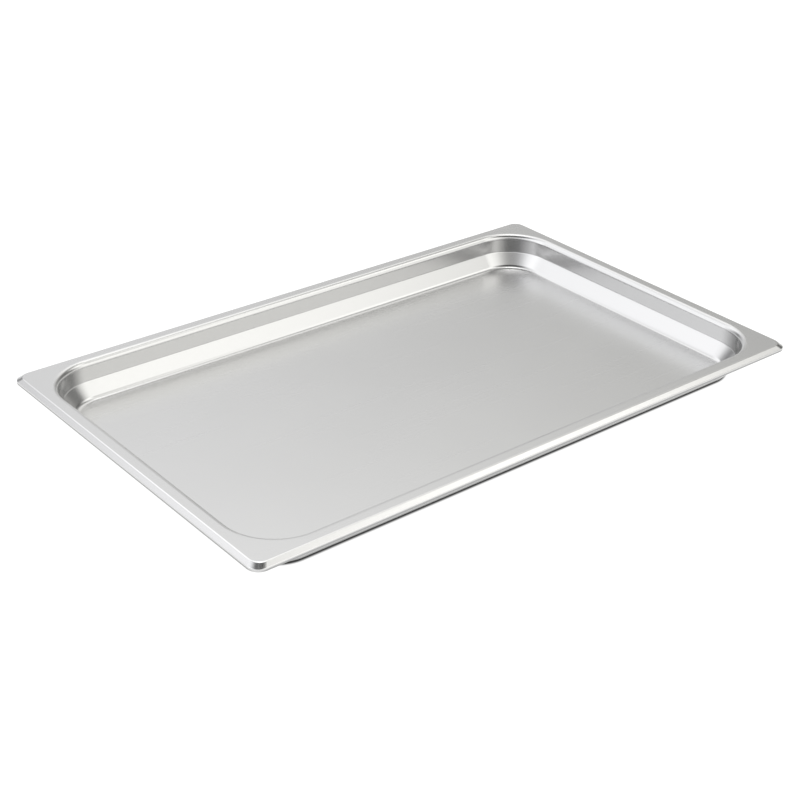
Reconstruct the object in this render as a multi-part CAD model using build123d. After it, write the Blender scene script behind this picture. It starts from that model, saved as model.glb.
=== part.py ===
from build123d import *
import os
from math import sin, cos, tan, radians

# Shallow full-size food pan, deep drawn from one sheet of stainless steel.
# All lengths in millimetres.  Frame: the origin is the centre of the pan's
# footprint on the surface it stands on, +X along the long side, +Z up.

# ---- driving dimensions -------------------------------------------------
LENGTH = 530.0            # over the rim, gastronorm 1/1
WIDTH = 325.0             # over the rim, gastronorm 1/1
HEIGHT = 29.0             # underside of the floor to the top of the flange
SHEET = 0.7               # sheet thickness

# rim: flat flange, then a lip that turns down all the way round
FLANGE_OUTER_INSET = 4.2  # where the flat of the flange starts to turn down
FLANGE_INNER_INSET = 10.6  # where the flat of the flange turns into the bowl
RIM_CORNER_R = 11.5       # plan radius of the rim at its widest
SHOULDER_R = 2.0          # bend from the flange into the lip
LIP_SLOPE = 38.0          # slope of the lip's face below horizontal, degrees
LIP_BEND_R = 0.9          # bend from the sloped face to the upright edge
LIP_DEPTH = 5.0           # top of the flange to the bottom edge of the lip

# bowl: upper band almost upright, lower band drawn in, flat floor
MOUTH_R = 5.0             # bend from the flange into the wall
BOWL_CORNER_R = 40.0      # plan radius of the wall's corner just under the mouth
UPPER_TAPER = 3.0         # degrees from vertical
STEP_DEPTH = 16.1         # depth of the line between the two bands
STEP_R = 2.5              # bend between the two bands, inside
LOWER_TAPER = 38.0        # degrees from vertical
FLOOR_R = 6.5             # bend from the lower band to the floor, inside

# ---- section of the sheet ----------------------------------------------
# The section lies in a plane (u, z): u is measured outwards from the rim's
# widest line, so it is negative inside the rim, and z is the height.
TOP = HEIGHT


def polar(centre, radius, angle):
    a = radians(angle)
    return (centre[0] + radius * cos(a), centre[1] + radius * sin(a))


def sheet_section(arcs, start, end):
    """Face of the sheet between its two surfaces.

    arcs: (centre, radius, first angle, last angle, side), where radius is that
    of the upper or inner surface and side says where the sheet's other
    surface is: -1 nearer to the centre, +1 further from it.
    start, end: (point on the first surface, point on the second surface).
    """
    face_a, face_b = [], []
    for centre, radius, a0, a1, side in arcs:
        mid = (a0 + a1) / 2
        for face, r in ((face_a, radius), (face_b, radius + side * SHEET)):
            face.append([polar(centre, r, a) for a in (a0, mid, a1)])
    edges = []

    def chain(face, first, last):
        here = first
        for p0, pm, p1 in face:
            if (Vector(*here) - Vector(*p0)).length > 1e-6:
                edges.append(Edge.make_line(Vector(*here), Vector(*p0)))
            edges.append(Edge.make_three_point_arc(Vector(*p0), Vector(*pm), Vector(*p1)))
            here = p1
        if (Vector(*here) - Vector(*last)).length > 1e-6:
            edges.append(Edge.make_line(Vector(*here), Vector(*last)))

    chain(face_a, start[0], end[0])
    edges.append(Edge.make_line(Vector(*end[0]), Vector(*end[1])))
    back = [[p1, pm, p0] for p0, pm, p1 in reversed(face_b)]
    chain(back, end[1], start[1])
    edges.append(Edge.make_line(Vector(*start[1]), Vector(*start[0])))
    return Face(Wire(edges))


# lip: from the flange outwards and down
lip_c1 = (-FLANGE_OUTER_INSET, TOP - SHOULDER_R)
lip_p1 = polar(lip_c1, SHOULDER_R, 90 - LIP_SLOPE)
lip_c2_u = -LIP_BEND_R
lip_p2_u = lip_c2_u + LIP_BEND_R * cos(radians(90 - LIP_SLOPE))
lip_p2_z = lip_p1[1] - (lip_p2_u - lip_p1[0]) * tan(radians(LIP_SLOPE))
lip_c2 = (lip_c2_u, lip_p2_z - LIP_BEND_R * sin(radians(90 - LIP_SLOPE)))
lip_section = sheet_section(
    [(lip_c1, SHOULDER_R, 90, 90 - LIP_SLOPE, -1),
     (lip_c2, LIP_BEND_R, 90 - LIP_SLOPE, 0, -1)],
    ((-FLANGE_OUTER_INSET, TOP), (-FLANGE_OUTER_INSET, TOP - SHEET)),
    ((0.0, TOP - LIP_DEPTH), (-SHEET, TOP - LIP_DEPTH)))

# bowl: from the flange inwards and down to the floor
mouth_c = (-FLANGE_INNER_INSET, TOP - MOUTH_R)
wall_p1 = polar(mouth_c, MOUTH_R, 180 - UPPER_TAPER)
d1 = (-sin(radians(UPPER_TAPER)), -cos(radians(UPPER_TAPER)))
n1 = (-cos(radians(UPPER_TAPER)), sin(radians(UPPER_TAPER)))
d2 = (-sin(radians(LOWER_TAPER)), -cos(radians(LOWER_TAPER)))
n2 = (-cos(radians(LOWER_TAPER)), sin(radians(LOWER_TAPER)))
run1 = (wall_p1[1] - (TOP - STEP_DEPTH)) / -d1[1]
step_v = (wall_p1[0] + d1[0] * run1, TOP - STEP_DEPTH)
step_t = STEP_R * tan(radians((LOWER_TAPER - UPPER_TAPER) / 2))
step_c = (step_v[0] - d1[0] * step_t + n1[0] * STEP_R,
          step_v[1] - d1[1] * step_t + n1[1] * STEP_R)
run2 = (step_v[1] - SHEET) / -d2[1]
floor_v = (step_v[0] + d2[0] * run2, SHEET)
floor_t = FLOOR_R * tan(radians((90 - LOWER_TAPER) / 2))
floor_c = (floor_v[0] - floor_t, SHEET + FLOOR_R)
FLOOR_INSET = -floor_c[0]
bowl_section = sheet_section(
    [(mouth_c, MOUTH_R, 90, 180 - UPPER_TAPER, -1),
     (step_c, STEP_R, -UPPER_TAPER, -LOWER_TAPER, +1),
     (floor_c, FLOOR_R, -LOWER_TAPER, -90, +1)],
    ((-FLANGE_INNER_INSET, TOP), (-FLANGE_INNER_INSET, TOP - SHEET)),
    ((-FLOOR_INSET, SHEET), (-FLOOR_INSET, 0.0)))

# ---- ring of a section round a rounded rectangle ------------------------
WALL_INSET = FLANGE_INNER_INSET + MOUTH_R
BOWL_CENTRE_INSET = WALL_INSET + BOWL_CORNER_R


def ring(section, centre_inset):
    """The section carried round the pan: straight along the four sides and
    turned through 90 degrees about each corner's upright axis."""
    cx = LENGTH / 2 - centre_inset
    cy = WIDTH / 2 - centre_inset
    pieces = []
    for turn, half, run in ((0, LENGTH / 2, 2 * cy), (90, WIDTH / 2, 2 * cx),
                            (180, LENGTH / 2, 2 * cy), (270, WIDTH / 2, 2 * cx)):
        # section plane: u outwards, z up, its normal along the side
        start = Plane(origin=(half, -run / 2, 0), x_dir=(1, 0, 0), z_dir=(0, -1, 0))
        face = start.from_local_coords(section)
        side = Solid.extrude(face, Vector(0, run, 0))
        pieces.append(side.rotate(Axis.Z, turn))
    for turn, sx, sy in ((0, 1, 1), (90, -1, 1), (180, -1, -1), (270, 1, -1)):
        at = Plane(origin=(centre_inset, 0, 0), x_dir=(1, 0, 0), z_dir=(0, -1, 0))
        face = at.from_local_coords(section)
        corner = Solid.revolve(face, 90, Axis((0, 0, 0), (0, 0, 1)))
        corner = corner.rotate(Axis.Z, turn)
        pieces.append(corner.moved(Location((sx * cx, sy * cy, 0))))
    return pieces


def rounded_plate(inset, radius, z0, thickness):
    face = make_face(RectangleRounded(LENGTH - 2 * inset, WIDTH - 2 * inset, radius).wire())
    return extrude(Plane.XY.offset(z0) * face, thickness)


flange = (rounded_plate(FLANGE_OUTER_INSET, RIM_CORNER_R - FLANGE_OUTER_INSET, TOP - SHEET, SHEET)
          - rounded_plate(FLANGE_INNER_INSET, BOWL_CENTRE_INSET - FLANGE_INNER_INSET,
                          TOP - SHEET, SHEET))
floor = rounded_plate(FLOOR_INSET, BOWL_CENTRE_INSET - FLOOR_INSET, 0.0, SHEET)

body = flange + floor
for piece in ring(lip_section, RIM_CORNER_R) + ring(bowl_section, BOWL_CENTRE_INSET):
    body = body + piece
body = body.clean()
pan_body = body.solids()[0] if len(body.solids()) == 1 else body
pan_body.label = "pan_body"

os.makedirs("parts", exist_ok=True)
export_step(pan_body, "parts/pan_body.step")
print("solids", len(body.solids()), "volume", round(body.volume, 1), "faces", len(body.faces()),
      "valid", pan_body.is_valid, "box", pan_body.bounding_box())
print("floor inset", round(FLOOR_INSET, 3))
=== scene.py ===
import math

import bpy
import bmesh
from mathutils import Matrix, Vector


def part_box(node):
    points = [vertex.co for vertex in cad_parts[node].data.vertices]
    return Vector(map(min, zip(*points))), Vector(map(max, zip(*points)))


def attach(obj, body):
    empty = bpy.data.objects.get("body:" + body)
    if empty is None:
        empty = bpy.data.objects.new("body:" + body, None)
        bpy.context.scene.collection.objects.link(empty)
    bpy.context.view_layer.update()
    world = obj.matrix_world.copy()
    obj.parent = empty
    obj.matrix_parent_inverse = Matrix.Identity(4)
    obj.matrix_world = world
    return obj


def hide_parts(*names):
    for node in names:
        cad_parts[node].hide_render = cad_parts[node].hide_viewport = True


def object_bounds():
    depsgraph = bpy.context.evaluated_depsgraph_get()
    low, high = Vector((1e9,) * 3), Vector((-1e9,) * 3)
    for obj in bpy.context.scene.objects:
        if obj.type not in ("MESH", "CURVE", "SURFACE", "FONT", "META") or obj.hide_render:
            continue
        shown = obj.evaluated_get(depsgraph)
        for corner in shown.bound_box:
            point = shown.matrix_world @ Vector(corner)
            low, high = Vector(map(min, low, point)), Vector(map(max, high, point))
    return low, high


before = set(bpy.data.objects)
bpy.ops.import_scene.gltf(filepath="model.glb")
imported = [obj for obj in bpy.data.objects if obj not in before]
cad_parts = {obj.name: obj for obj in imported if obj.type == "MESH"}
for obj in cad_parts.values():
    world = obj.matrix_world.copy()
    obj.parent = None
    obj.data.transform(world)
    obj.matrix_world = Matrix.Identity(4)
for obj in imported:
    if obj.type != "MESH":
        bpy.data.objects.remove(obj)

# the CAD box, before anything is added
cad_lo, cad_hi = [Vector(v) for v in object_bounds()]

scene = bpy.context.scene
scene.view_settings.view_transform = "Standard"
scene.view_settings.look = "None"

MM = 0.001

# ------------------------------------------------------------------ the pan
# The same pressing as the CAD node, as one clean mesh of quads: a section of
# the sheet (u outwards from the rim's widest line, z up, millimetres) carried
# round rounded rectangles.  Its place comes from the CAD node's box.
node_lo, node_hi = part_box("pan_body")
HX = (node_hi.x - node_lo.x) / 2 / MM
HY = (node_hi.y - node_lo.y) / 2 / MM
CX = (node_hi.x + node_lo.x) / 2 / MM
CY = (node_hi.y + node_lo.y) / 2 / MM
TOP = node_hi.z / MM
BASE = node_lo.z / MM

SHEET = 0.7
FLANGE_OUT, FLANGE_IN = 4.2, 10.6
SHOULDER_R, LIP_SLOPE, LIP_BEND_R, LIP_DEPTH = 2.0, 38.0, 0.9, 5.0
MOUTH_R, BOWL_R = 5.0, 40.0
UPPER_TAPER, STEP_DEPTH, STEP_R = 3.0, 16.1, 2.5
LOWER_TAPER, FLOOR_R = 38.0, 6.5
R_SHOULDER, R_RIM = 8.3, 9.3   # plan radius of the lip's corner, top and widest
EDGE_R = 0.22                   # softened edge of the lip
BOWL_C = FLANGE_IN + MOUTH_R + BOWL_R

N_ARC, N_LONG, N_SHORT = 30, 40, 26


def rad(a):
    return math.radians(a)


def polar(c, r, a):
    return (c[0] + r * math.cos(rad(a)), c[1] + r * math.sin(rad(a)))


def lip_radius(u):
    t = min(max((u + FLANGE_OUT) / FLANGE_OUT, 0.0), 1.0)
    return R_SHOULDER + (R_RIM - R_SHOULDER) * t


def section():
    """Points of the upper and outer skin, from the lip's bottom edge to the
    middle of the floor: u, z, the section's normal, the plan radius of the
    corner there and how that radius changes with u, and what part it is."""
    pts = []

    def add(u, z, nu, nz, kind, radius, slope, polish):
        pts.append(dict(u=u, z=z, nu=nu, nz=nz, kind=kind, R=radius, dR=slope, polish=polish))

    def arc(c, r, a0, a1, n, kind, convex, radius, slope, polish, first=True, last=True):
        for i in range(n + 1):
            if (i == 0 and not first) or (i == n and not last):
                continue
            a = a0 + (a1 - a0) * i / n
            u, z = polar(c, r, a)
            s = 1 if convex else -1
            p = polish if not callable(polish) else polish(i / n)
            add(u, z, s * math.cos(rad(a)), s * math.sin(rad(a)), kind, radius(u), slope, p)

    def line(p0, p1, fractions, kind, radius, slope, polish):
        du, dz = p1[0] - p0[0], p1[1] - p0[1]
        ln = math.hypot(du, dz)
        nu, nz = -dz / ln, du / ln          # left of the direction of travel
        for f in fractions:
            u, z = p0[0] + du * f, p0[1] + dz * f
            p = polish if not callable(polish) else polish(f)
            # travelling from the lip inwards, the outer skin's normal is on the right
            add(u, z, -nu, -nz, kind, radius(u), slope, p)

    lip_slope = (R_RIM - R_SHOULDER) / FLANGE_OUT
    # lip
    c1 = (-FLANGE_OUT, TOP - SHOULDER_R)
    p1 = polar(c1, SHOULDER_R, 90 - LIP_SLOPE)
    p2u = -LIP_BEND_R + LIP_BEND_R * math.cos(rad(90 - LIP_SLOPE))
    p2z = p1[1] - (p2u - p1[0]) * math.tan(rad(LIP_SLOPE))
    c2 = (-LIP_BEND_R, p2z - LIP_BEND_R * math.sin(rad(90 - LIP_SLOPE)))
    bottom = TOP - LIP_DEPTH
    arc((-EDGE_R, bottom + EDGE_R), EDGE_R, -90, 0, 4, "edge", True, lip_radius, 1.0, 0.0)
    line((0, bottom + EDGE_R), (0, c2[1]), (0.2, 0.4, 0.6, 0.8), "lip", lip_radius, lip_slope, 0.8)
    arc(c2, LIP_BEND_R, 0, 90 - LIP_SLOPE, 7, "lip bend", True, lip_radius, lip_slope, 0.9)
    line((p2u, p2z), p1, (0.12, 0.3, 0.5, 0.7, 0.88), "lip", lip_radius, lip_slope, 0.9)
    arc(c1, SHOULDER_R, 90 - LIP_SLOPE, 90, 10, "shoulder", True, lip_radius, lip_slope,
        lambda f: 0.9 - 0.7 * f)
    # flange
    mouth = (-FLANGE_IN, TOP - MOUTH_R)
    r_in = BOWL_C - FLANGE_IN
    span = FLANGE_IN - FLANGE_OUT
    for f in (0.04, 0.2, 0.4, 0.6, 0.8, 0.96):
        u = -FLANGE_OUT - span * f
        add(u, TOP, 0.0, 1.0, "flange", R_SHOULDER + (r_in - R_SHOULDER) * f, 1.0, 0.0)

    bowl = lambda u: BOWL_C + u
    # mouth, walls and floor bend
    w1 = polar(mouth, MOUTH_R, 180 - UPPER_TAPER)
    d1 = (-math.sin(rad(UPPER_TAPER)), -math.cos(rad(UPPER_TAPER)))
    n1 = (-math.cos(rad(UPPER_TAPER)), math.sin(rad(UPPER_TAPER)))
    d2 = (-math.sin(rad(LOWER_TAPER)), -math.cos(rad(LOWER_TAPER)))
    run1 = (w1[1] - (TOP - STEP_DEPTH)) / -d1[1]
    sv = (w1[0] + d1[0] * run1, TOP - STEP_DEPTH)
    st = STEP_R * math.tan(rad((LOWER_TAPER - UPPER_TAPER) / 2))
    sa = (sv[0] - d1[0] * st, sv[1] - d1[1] * st)
    sc = (sa[0] + n1[0] * STEP_R, sa[1] + n1[1] * STEP_R)
    run2 = (sv[1] - (BASE + SHEET)) / -d2[1]
    fv = (sv[0] + d2[0] * run2, BASE + SHEET)
    ft = FLOOR_R * math.tan(rad((90 - LOWER_TAPER) / 2))
    fc = (fv[0] - ft, BASE + SHEET + FLOOR_R)
    arc(mouth, MOUTH_R, 90, 180 - UPPER_TAPER, 16, "mouth", True, bowl, 1.0,
        lambda f: min(1.0, 1.6 * f))
    sb = polar(sc, STEP_R, -LOWER_TAPER)
    fa = polar(fc, FLOOR_R, -LOWER_TAPER)
    line(w1, sa, (0.04, 0.2, 0.4, 0.6, 0.8, 0.96), "upper", bowl, 1.0, 1.0)
    arc(sc, STEP_R, -UPPER_TAPER, -LOWER_TAPER, 7, "step", False, bowl, 1.0, 1.0)
    line(sb, fa, (0.05, 0.2, 0.4, 0.6, 0.8, 0.95), "lower", bowl, 1.0, 1.0)
    arc(fc, FLOOR_R, -LOWER_TAPER, -90, 14, "bend", False, bowl, 1.0,
        lambda f: 1.0 - 0.9 * f * f)
    inset0 = -fc[0]
    r0 = BOWL_C - inset0
    for inset, pol in ((inset0 + 0.4, 0.08), (inset0 + 2, 0.04), (inset0 + 6, 0.0), (inset0 + 14, 0.0)):
        add(-inset, BASE + SHEET, 0.0, 1.0, "floor", BOWL_C - inset, 1.0, pol)
    for inset in (60.0, 80.0, 100.0, 120.0, 140.0):
        add(-inset, BASE + SHEET, 0.0, 1.0, "floor", 4.0 * (HY - inset) / HY, 1.0, 0.0)
    return pts


def ring(inset, radius):
    """Points and outward plan normals of a rounded rectangle, the same number
    in the same order for every ring."""
    out = []
    hx, hy = HX - inset, HY - inset
    corners = ((1, 1, 0), (-1, 1, 90), (-1, -1, 180), (1, -1, 270))
    for k, (sx, sy, a0) in enumerate(corners):
        cx, cy = sx * (hx - radius), sy * (hy - radius)
        for i in range(N_ARC + 1):
            a = rad(a0 + 90.0 * i / N_ARC)
            out.append((cx + radius * math.cos(a), cy + radius * math.sin(a),
                        math.cos(a), math.sin(a), sx, sy, True))
        tx, ty, _ = corners[(k + 1) % 4]
        ex, ey = tx * (hx - radius), ty * (hy - radius)
        a1 = rad(a0 + 90)
        n = N_LONG if k % 2 == 0 else N_SHORT
        p0 = (cx + radius * math.cos(a1), cy + radius * math.sin(a1))
        p1 = (ex + radius * math.cos(a1), ey + radius * math.sin(a1))
        for i in range(1, n + 1):
            f = i / (n + 1)
            out.append((p0[0] + (p1[0] - p0[0]) * f, p0[1] + (p1[1] - p0[1]) * f,
                        round(math.cos(a1), 9), round(math.sin(a1), 9), 0, 0, False))
    return out


def lip_shade_share(kind, z):
    """How much painted shade is at this height on the lip: a dark band along its lowest upright edge, standing
    for the dark reflection under the rim.
    """
    if kind not in ("edge", "lip", "lip bend"):
        return 0.0
    t = min(max((z - (TOP - LIP_DEPTH) - 1.1) / 0.7, 0.0), 1.0)
    return 1.0 - t * t * (3 - 2 * t)


def bend_highlight_share(p):
    """How much painted highlight (a paler colour) the sheet gets here: its two outer bends get it, most at the
    middle of each bend.
    """
    tilt = math.degrees(math.atan2(p["nu"], p["nz"]))       # 0 on the flange, 90 upright
    if p["kind"] == "shoulder":
        return math.sin(math.pi * min(max(tilt / LIP_SLOPE, 0.0), 1.0))
    if p["kind"] == "lip bend":
        return math.sin(math.pi * min(max((tilt - LIP_SLOPE) / (90 - LIP_SLOPE), 0.0), 1.0))
    return 0.0


def build_pan():
    top = section()
    under = []
    for p in top:
        if p["kind"] == "edge":
            continue
        q = dict(p)
        q["u"] = p["u"] - SHEET * p["nu"]
        q["z"] = p["z"] - SHEET * p["nz"]
        q["R"] = max(p["R"] - SHEET * p["nu"], 0.3)
        under.append(q)
    # inner side of the lip's edge: its bottom is softened as well
    bottom = TOP - LIP_DEPTH
    inner_edge = []
    for i in range(5):
        a = 180 + 90.0 * i / 4
        u, z = polar((-SHEET + EDGE_R, bottom + EDGE_R), EDGE_R, a)
        inner_edge.append(dict(u=u, z=z, nu=math.cos(rad(a)), nz=math.sin(rad(a)), kind="edge",
                               R=R_RIM + u, dR=1.0, polish=0.0))
    rows = []
    for p in reversed(under):
        rows.append((p, -1))
    for p in inner_edge:
        rows.append((p, +1))
    for p in top:
        rows.append((p, +1))

    bm = bmesh.new()
    pol_layer = bm.verts.layers.float.new("polish")
    lip_shade_layer = bm.verts.layers.float.new("painted_lip_shade")
    under_layer = bm.verts.layers.float.new("underside")
    drawn_layer = bm.verts.layers.float.new("drawn")
    bend_highlight_layer = bm.verts.layers.float.new("painted_bend_highlight")
    normal = {}
    grid = []
    for p, side in rows:
        line = []
        kind = p["kind"]
        for x, y, nx, ny, sx, sy, on_corner in ring(-p["u"], p["R"]):
            v = bm.verts.new(((x + CX) * MM, (y + CY) * MM, p["z"] * MM))
            # exact normal: along the ring, crossed with along the section
            tu, tz = -p["nz"], p["nu"]
            if on_corner:
                a, b = tu - tu * p["dR"], tu * p["dR"]
                dp = Vector((a * sx + b * nx, a * sy + b * ny, tz))
            else:
                dp = Vector((tu * nx, tu * ny, tz))
            n = Vector((-ny, nx, 0)).cross(dp)
            want = Vector((p["nu"] * nx, p["nu"] * ny, p["nz"]))
            if n.dot(want) < 0:
                n.negate()
            normal[v] = n.normalized() * side
            v[pol_layer] = p["polish"]
            # the painted shade band fades round the lip's corners
            bend = abs(nx * ny) * 2 if on_corner else 0.0
            v[lip_shade_layer] = lip_shade_share(kind, p["z"]) * (1.0 - 0.75 * bend if side > 0 else 1.0)
            v[under_layer] = 1.0 if side < 0 else 0.0
            v[drawn_layer] = 1.0 if on_corner and kind in ("mouth", "upper", "step", "lower") else 0.0
            # painted highlight on the outer skin's two lip bends
            v[bend_highlight_layer] = bend_highlight_share(p) if side > 0 else 0.0
            line.append(v)
        grid.append(line)
    count = len(grid[0])
    for j in range(len(grid) - 1):
        for i in range(count):
            k = (i + 1) % count
            bm.faces.new((grid[j][i], grid[j][k], grid[j + 1][k], grid[j + 1][i]))

    # the two floors close on the pan's long middle line
    def close(line, flip):
        lim = (HX - HY) * MM
        z = line[0].co.z
        ends = {}
        mids = []
        for v in line:
            x = min(max(v.co.x - CX * MM, -lim), lim)
            key = round(x / 1e-7)
            if key not in ends:
                w = bm.verts.new((x + CX * MM, CY * MM, z))
                normal[w] = normal[v].copy()
                w[under_layer] = v[under_layer]
                ends[key] = w
            mids.append(ends[key])
        for i in range(len(line)):
            k = (i + 1) % len(line)
            corners = [line[i], line[k]]
            for w in (mids[k], mids[i]):
                if w not in corners:
                    corners.append(w)
            if len(set(corners)) >= 3:
                bm.faces.new(corners if not flip else corners[::-1])

    close(grid[0], True)
    close(grid[-1], False)
    bm.normal_update()
    # both floors' middle lines have a point for each straight point
    # of the two long sides, and those match
    mesh = bpy.data.meshes.new("pan_sheet")
    bm.verts.index_update()
    normals = [normal[v].copy() for v in bm.verts]
    # faces look the way the stored normals look
    for f in bm.faces:
        s = sum((normal[v] for v in f.verts), Vector())
        if f.normal.dot(s) < 0:
            f.normal_flip()
    bm.to_mesh(mesh)
    bm.free()
    for f in mesh.polygons:
        f.use_smooth = True
    mesh.normals_split_custom_set_from_vertices([tuple(n) for n in normals])
    mesh.validate(clean_customdata=False)
    obj = bpy.data.objects.new("pan_sheet", mesh)
    scene.collection.objects.link(obj)
    return obj


pan = build_pan()
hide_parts("pan_body")
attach(pan, "root")


# ---------------------------------------------------------------- materials
class Nodes:
    """Short names for building a node tree."""

    def __init__(self, tree):
        self.t = tree
        tree.nodes.clear()

    def new(self, kind, **props):
        n = self.t.nodes.new(kind)
        for k, v in props.items():
            setattr(n, k, v)
        return n

    def link(self, a, b):
        self.t.links.new(a, b)

    def put(self, sock, value):
        if hasattr(value, "is_linked") or isinstance(value, bpy.types.NodeSocket):
            self.t.links.new(value, sock)
        else:
            sock.default_value = value

    def math(self, op, a, b=None, c=None, clamp=False):
        n = self.new("ShaderNodeMath", operation=op, use_clamp=clamp)
        for i, v in enumerate((a, b, c)):
            if v is not None:
                self.put(n.inputs[i], v)
        return n.outputs[0]

    def smooth(self, v, a, b, c=0.0, d=1.0):
        n = self.new("ShaderNodeMapRange", interpolation_type="SMOOTHSTEP")
        self.put(n.inputs["Value"], v)
        for name, x in (("From Min", a), ("From Max", b), ("To Min", c), ("To Max", d)):
            self.put(n.inputs[name], x)
        return n.outputs["Result"]

    def mix(self, f, a, b):
        n = self.new("ShaderNodeMix", data_type="FLOAT")
        self.put(n.inputs[0], f)
        self.put(n.inputs[2], a)
        self.put(n.inputs[3], b)
        return n.outputs[0]

    def mix_color(self, f, a, b):
        n = self.new("ShaderNodeMix", data_type="RGBA")
        self.put(n.inputs[0], f)
        self.put(n.inputs[6], a)
        self.put(n.inputs[7], b)
        return n.outputs[2]

    def attribute(self, name):
        return self.new("ShaderNodeAttribute", attribute_name=name).outputs["Fac"]


def noise(g, vector, scale, detail=2.0, rough=0.5, size=None):
    """Noise in the object's own space; size stretches it (metres per unit)."""
    m = g.new("ShaderNodeMapping")
    g.link(vector, m.inputs["Vector"])
    m.inputs["Scale"].default_value = size or (1, 1, 1)
    n = g.new("ShaderNodeTexNoise")
    g.link(m.outputs["Vector"], n.inputs["Vector"])
    n.inputs["Scale"].default_value = scale
    n.inputs["Detail"].default_value = detail
    n.inputs["Roughness"].default_value = rough
    return n.outputs["Fac"]


def steel_material():
    mat = bpy.data.materials.new("stainless_sheet")
    mat.use_nodes = True
    g = Nodes(mat.node_tree)
    out = g.new("ShaderNodeOutputMaterial")
    b = g.new("ShaderNodeBsdfPrincipled")
    g.link(b.outputs["BSDF"], out.inputs["Surface"])
    co = g.new("ShaderNodeTexCoord").outputs["Object"]
    polish = g.attribute("polish")
    lip_shade = g.attribute("painted_lip_shade")
    below = g.attribute("underside")
    drawn = g.attribute("drawn")
    painted_bend_highlight = g.attribute("painted_bend_highlight")

    cloud = noise(g, co, 9.0, 3.0, 0.55)                          # slow tonal drift
    grain = noise(g, co, 1.0, 3.0, 0.6, (260.0, 5200.0, 2600.0))   # rolled grain along X
    fine = noise(g, co, 5200.0, 2.0, 0.5)                          # satin tooth
    # long faint hairlines along X, few of them
    hair = g.smooth(noise(g, co, 1.0, 1.0, 0.4, (7.0, 1500.0, 900.0)), 0.70, 0.76)
    hair = g.math("MULTIPLY", hair, g.math("SUBTRACT", 1.0, polish))
    # the punch's upright marks on the walls: they follow the wall round
    wipe = noise(g, co, 1.0, 3.0, 0.6, (420.0, 420.0, 14.0))
    # at the drawn corners the marks fan out from each corner's axis
    sep = g.new("ShaderNodeSeparateXYZ")
    g.link(co, sep.inputs[0])
    fx = g.math("SUBTRACT", g.math("ABSOLUTE", g.math("SUBTRACT", sep.outputs["X"], CX * MM)), (HX - BOWL_C) * MM)
    fy = g.math("SUBTRACT", g.math("ABSOLUTE", g.math("SUBTRACT", sep.outputs["Y"], CY * MM)), (HY - BOWL_C) * MM)
    fan = g.new("ShaderNodeCombineXYZ")
    g.link(g.math("ARCTAN2", fy, fx), fan.inputs["X"])
    g.link(sep.outputs["Z"], fan.inputs["Y"])
    g.link(sep.outputs["X"], fan.inputs["Z"])
    marks = noise(g, fan.outputs["Vector"], 1.0, 4.0, 0.65, (34.0, 22.0, 3.0))
    walls = g.math("MULTIPLY", polish, g.math("SUBTRACT", 1.0, drawn))
    streak = g.math("ADD",
                    g.math("MULTIPLY", g.math("SUBTRACT", wipe, 0.5), walls),
                    g.math("MULTIPLY", g.math("SUBTRACT", marks, 0.5), g.math("MULTIPLY", drawn, 1.6)))

    # colour: neutral steel with a slow drift, and painted shade darkening the lip's lowest band
    base = g.mix_color(cloud, (0.645, 0.645, 0.643, 1), (0.669, 0.669, 0.667, 1))
    base = g.mix_color(g.math("MULTIPLY", grain, 0.10), base, (0.60, 0.598, 0.594, 1))
    base = g.mix_color(g.math("MULTIPLY", hair, 0.16), base, (0.50, 0.498, 0.494, 1))
    # painted highlight: the shoulder and the lip's lower bend are paler in colour, as bright lines
    base = g.mix_color(g.math("MULTIPLY", painted_bend_highlight, 0.36), base, (0.86, 0.86, 0.858, 1))
    base = g.mix_color(g.math("MULTIPLY", below, 0.5), base, (0.40, 0.40, 0.398, 1))   # painted shade: underside darker in colour; its mill finish is the added roughness
    # painted shade: a dark band on the lip's lowest upright edge for the dark reflection under the rim; the band
    # is also rougher
    base = g.mix_color(g.math("MULTIPLY", lip_shade, 0.66), base, (0.24, 0.24, 0.239, 1))
    g.link(base, b.inputs["Base Color"])
    b.inputs["Metallic"].default_value = 1.0

    rough = g.mix(polish, 0.24, 0.19)
    rough.node.label = "finish"
    rough = g.math("ADD", rough, g.math("MULTIPLY", g.math("SUBTRACT", cloud, 0.5), 0.05))
    rough = g.math("ADD", rough, g.math("MULTIPLY", g.math("SUBTRACT", grain, 0.5), 0.04))
    rough = g.math("ADD", rough, g.math("MULTIPLY", streak, 0.10))
    rough = g.math("ADD", rough, g.math("MULTIPLY", hair, 0.05))
    rough = g.math("ADD", rough, g.math("MULTIPLY", drawn, 0.02))
    rough = g.math("ADD", rough, g.math("MULTIPLY", below, 0.06))
    rough = g.math("ADD", rough, g.math("MULTIPLY", lip_shade, 0.2), clamp=True)
    g.link(rough, b.inputs["Roughness"])

    height = g.math("ADD", g.math("MULTIPLY", grain, 0.7), g.math("MULTIPLY", fine, 0.3))
    bump = g.new("ShaderNodeBump")
    bump.inputs["Strength"].default_value = 0.035
    bump.inputs["Distance"].default_value = 0.00002
    g.link(height, bump.inputs["Height"])
    # the streaks are worn into the walls a little deeper than the grain
    worn = g.new("ShaderNodeBump")
    worn.inputs["Strength"].default_value = 0.025
    worn.inputs["Distance"].default_value = 0.00012
    g.link(streak, worn.inputs["Height"])
    g.link(bump.outputs["Normal"], worn.inputs["Normal"])
    g.link(worn.outputs["Normal"], b.inputs["Normal"])
    return mat


pan.data.materials.append(steel_material())


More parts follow.
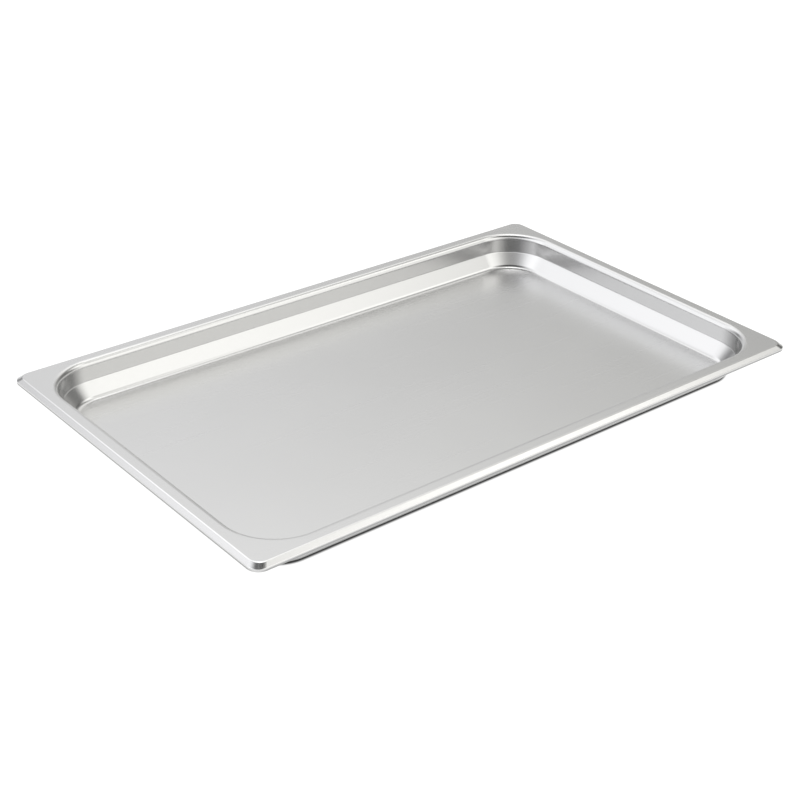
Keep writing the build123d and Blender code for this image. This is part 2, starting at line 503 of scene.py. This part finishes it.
# ------------------------------------------------------------------- camera
AZ, EL, ROLL, DIST, FPX = CAMERA = (-40.2631, 28.8033, 1.7166, 1186.6535, 1572.3951)
TARGET = (-51.4152, -46.3193)
a, e, r = rad(AZ), rad(EL), rad(ROLL)
back = Vector((math.sin(a) * math.cos(e), -math.cos(a) * math.cos(e), math.sin(e)))
right = Vector((math.cos(a), math.sin(a), 0))
up = back.cross(right)
right2 = right * math.cos(r) + up * math.sin(r)
up2 = up * math.cos(r) - right * math.sin(r)
place = (Vector((TARGET[0] + CX, TARGET[1] + CY, TOP)) + back * DIST) * MM
cam_data = bpy.data.cameras.new("camera")
cam_data.sensor_width = 36.0
cam_data.lens = 36.0 * FPX / 800.0
cam_data.clip_start = 0.05
cam_data.clip_end = 200.0
camera = bpy.data.objects.new("camera", cam_data)
scene.collection.objects.link(camera)
camera.matrix_world = Matrix(((right2.x, up2.x, back.x, place.x),
                              (right2.y, up2.y, back.y, place.y),
                              (right2.z, up2.z, back.z, place.z),
                              (0, 0, 0, 1)))
scene.camera = camera


# ------------------------------------------------------------ studio: light
# A soft tent of light, brightest over the pan, with a tall soft box on each
# side, a pale backdrop and a dark gap where the photographer stands.
world = bpy.data.worlds.new("studio")
scene.world = world
world.use_nodes = True
g = Nodes(world.node_tree)
wout = g.new("ShaderNodeOutputWorld")
bg = g.new("ShaderNodeBackground")
g.link(bg.outputs["Background"], wout.inputs["Surface"])
d = g.new("ShaderNodeTexCoord").outputs["Generated"]
nrm = g.new("ShaderNodeVectorMath", operation="NORMALIZE")
g.link(d, nrm.inputs[0])
d = nrm.outputs["Vector"]


def dot(vec):
    n = g.new("ShaderNodeVectorMath", operation="DOT_PRODUCT")
    g.link(d, n.inputs[0])
    n.inputs[1].default_value = vec
    return n.outputs["Value"]


FWD = Vector((-back.x, -back.y, 0)).normalized()
RGT = Vector((right.x, right.y, 0)).normalized()
az = g.math("DEGREES", g.math("ARCTAN2", dot(RGT), dot(FWD)))      # 0 ahead, + to the right
el = g.math("DEGREES", g.math("ARCSINE", g.math("MINIMUM", g.math("MAXIMUM", dot((0, 0, 1)), -1.0), 1.0)))
# The tent's brightness, ring by ring: the elevation of the ring's middle in
# degrees, then its brightness at every 30 degrees from behind the camera,
# round by the left, to ahead and back by the right.
TENT = (
    (4, (0.10, 0.70, 0.90, 0.90, 0.90, 0.90, 0.90, 0.90, 0.90, 0.90, 0.76, 0.10)),
    (16, (0.10, 0.76, 1.96, 0.70, 0.24, 0.90, 0.28, 0.24, 0.38, 1.48, 1.10, 0.10)),
    (28, (0.64, 1.38, 1.42, 1.38, 0.12, 0.94, 0.62, 0.10, 0.18, 1.52, 1.56, 0.46)),
    (42, (1.24, 1.84, 1.66, 1.38, 1.82, 1.30, 1.42, 0.14, 1.82, 1.52, 1.58, 1.10)),
    (58, (0.10, 0.22, 1.08, 1.30, 0.96, 1.46, 1.62, 0.38, 1.82, 0.22, 0.10, 0.10)),
    (76, (0.10, 0.10, 0.10, 0.32, 1.60, 2.56, 3.10, 2.14, 0.22, 0.10, 0.10, 0.10)),
    (90, (0.32,) * 12),
)
PEAK = 4.0


def ring_light(values):
    ramp = g.new("ShaderNodeValToRGB")
    g.link(g.math("DIVIDE", g.math("ADD", az, 180.0), 360.0), ramp.inputs["Fac"])
    n = len(values)
    ends = (values[0] + values[-1]) / 2
    stops = [(0.0, ends)] + [((i + 0.5) / n, v) for i, v in enumerate(values)] + [(1.0, ends)]
    els = ramp.color_ramp.elements
    while len(els) < len(stops):
        els.new(0.5)
    for k, (pos, v) in enumerate(stops):
        els[k].position = pos
        els[k].color = (v / PEAK, v / PEAK, v / PEAK, 1)
    sep = g.new("ShaderNodeSeparateColor")
    g.link(ramp.outputs["Color"], sep.inputs["Color"])
    return g.math("MULTIPLY", sep.outputs["Red"], PEAK)


L = None
last = None
for mid, values in TENT:
    ring_value = ring_light(values)
    if L is None:
        L = ring_value
    else:
        n = g.new("ShaderNodeMapRange", interpolation_type="LINEAR")
        g.link(el, n.inputs["Value"])
        n.inputs["From Min"].default_value = last
        n.inputs["From Max"].default_value = mid
        L = g.mix(n.outputs["Result"], L, ring_value)
    last = mid
g.link(L, bg.inputs["Strength"])
# daylight is a touch cooler on the left, lamps a touch warmer on the right
side_mix = g.smooth(dot(RGT), -0.5, 0.5)
g.link(g.mix_color(side_mix, (0.998, 1.0, 1.016, 1), (1.006, 1.0, 0.972, 1)), bg.inputs["Color"])

# -------------------------------------------------------- studio: the floor
S = 90.0
fm = bpy.data.meshes.new("floor")
n_side = 24
verts = [((i / n_side - 0.5) * S, (j / n_side - 0.5) * S, cad_lo.z - 0.0001)
         for j in range(n_side + 1) for i in range(n_side + 1)]
faces = [(j * (n_side + 1) + i, j * (n_side + 1) + i + 1,
          (j + 1) * (n_side + 1) + i + 1, (j + 1) * (n_side + 1) + i)
         for j in range(n_side) for i in range(n_side)]
fm.from_pydata(verts, [], faces)
floor = bpy.data.objects.new("floor", fm)
scene.collection.objects.link(floor)
fmat = bpy.data.materials.new("pale_floor")
fmat.use_nodes = True
g = Nodes(fmat.node_tree)
out = g.new("ShaderNodeOutputMaterial")
b = g.new("ShaderNodeBsdfPrincipled")
g.link(b.outputs["BSDF"], out.inputs["Surface"])
co = g.new("ShaderNodeTexCoord").outputs["Object"]
sep = g.new("ShaderNodeSeparateXYZ")
g.link(co, sep.inputs[0])
mott = noise(g, co, 3.0, 2.0)
b.inputs["Base Color"].default_value = (0.16, 0.16, 0.16, 1)
b.inputs["Roughness"].default_value = 0.9
b.inputs["Specular IOR Level"].default_value = 0.0
# the table glows evenly bright, with a painted shadow under the pan where it does not glow
# distance outside a rounded rectangle that lies well under the pan's body
SHADOW_INSET, SHADOW_R = 30.0, 25.6
ax = g.math("SUBTRACT", g.math("ABSOLUTE", sep.outputs["X"]), (HX - SHADOW_INSET - SHADOW_R) * MM)
ay = g.math("SUBTRACT", g.math("ABSOLUTE", sep.outputs["Y"]), (HY - SHADOW_INSET - SHADOW_R) * MM)
px, py = g.math("MAXIMUM", ax, 0.0), g.math("MAXIMUM", ay, 0.0)
edge = g.math("SUBTRACT", g.math("SQRT", g.math("ADD", g.math("MULTIPLY", px, px), g.math("MULTIPLY", py, py))),
              SHADOW_R * MM)
# painted shadow: the glow fades to nothing under the pan's body
glow_outside_painted_shadow = g.smooth(edge, 0.0045, 0.0075)
b.inputs["Emission Color"].default_value = (1, 1, 1, 1)
g.link(glow_outside_painted_shadow, b.inputs["Emission Strength"])
fm.materials.append(fmat)
